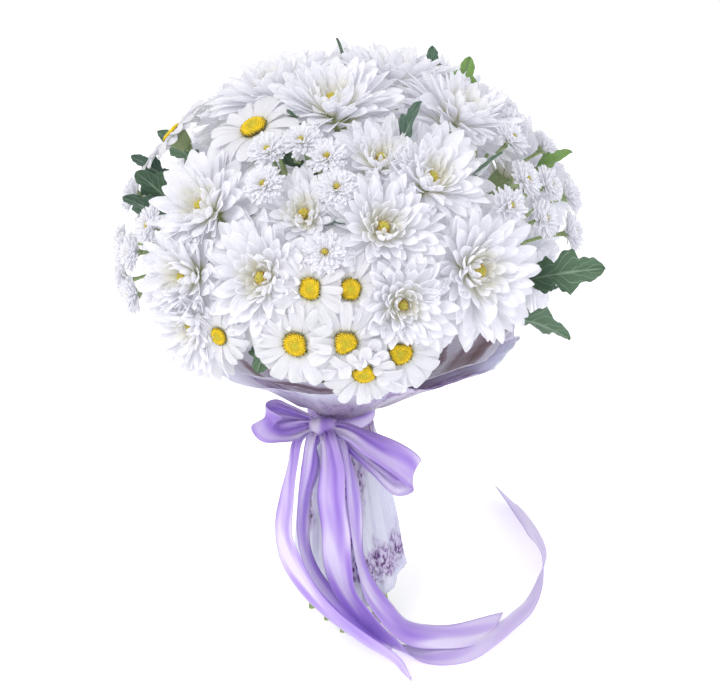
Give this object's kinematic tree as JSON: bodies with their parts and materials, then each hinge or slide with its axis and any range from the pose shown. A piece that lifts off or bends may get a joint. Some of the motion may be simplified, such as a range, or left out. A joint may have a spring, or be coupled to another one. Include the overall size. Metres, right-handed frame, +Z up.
{
  "type": "bunch of daisies",
  "caption": "Hand-tied bunch of white chrysanthemums, daisies and button sprays in a translucent wrap with a satin ribbon bow, standing on its cut stems.",
  "frame": {"origin": "on the floor under the middle of the bunch's own box", "axes": "+Z up along the stems to the flower head, -Y to the front, where the bow is, +X to the right as seen from the front"},
  "size_m": [0.35, 0.3504, 0.4805],
  "materials": {
    "mum_petal": "matt, soft",
    "daisy_petal": "matt, ribbed",
    "button_petal": "matt, quilled",
    "disc": "matt, granular",
    "leaf": "matt, veined",
    "film": "translucent film, printed",
    "lining": "translucent film, dark",
    "twine": "twisted fibre",
    "satin": "satin weave"
  },
  "bodies": {
    "root": {"mum_01": "mum_petal", "mum_02": "mum_petal", "mum_03": "mum_petal", "mum_04": "mum_petal", "mum_05": "mum_petal", "mum_06": "mum_petal", "mum_07": "mum_petal", "mum_08": "mum_petal", "mum_09": "mum_petal", "mum_10": "mum_petal", "mum_11": "mum_petal", "mum_12": "mum_petal", "mum_13": "mum_petal", "mum_14": "mum_petal", "mum_15": "mum_petal", "mum_16": "mum_petal", "mum_17": "mum_petal", "mum_18": "mum_petal", "mum_19": "mum_petal", "mum_20": "mum_petal", "mum_21": "mum_petal", "mum_22": "mum_petal", "daisy_01": "daisy_petal", "daisy_01_disc": "disc", "daisy_02": "daisy_petal", "daisy_02_disc": "disc", "daisy_03": "daisy_petal", "daisy_03_disc": "disc", "daisy_04": "daisy_petal", "daisy_04_disc": "disc", "daisy_05": "daisy_petal", "daisy_05_disc": "disc", "daisy_06": "daisy_petal", "daisy_06_disc": "disc", "daisy_07": "daisy_petal", "daisy_07_disc": "disc", "daisy_08": "daisy_petal", "daisy_08_disc": "disc", "daisy_09": "daisy_petal", "daisy_09_disc": "disc", "daisy_10": "daisy_petal", "daisy_10_disc": "disc", "daisy_11": "daisy_petal", "daisy_11_disc": "disc", "daisy_12": "daisy_petal", "daisy_12_disc": "disc", "daisy_13": "daisy_petal", "daisy_13_disc": "disc", "spray_centre": "button_petal", "spray_right": "button_petal", "spray_upper_right": "button_petal", "spray_left": "button_petal", "spray_back": "button_petal", "stems_and_leaves": "leaf", "wrap_outer": "film", "wrap_inner": "lining", "binding_twine": "twine", "ribbon_band": "satin", "ribbon_bow": "satin"}
  },
  "joints": []
}
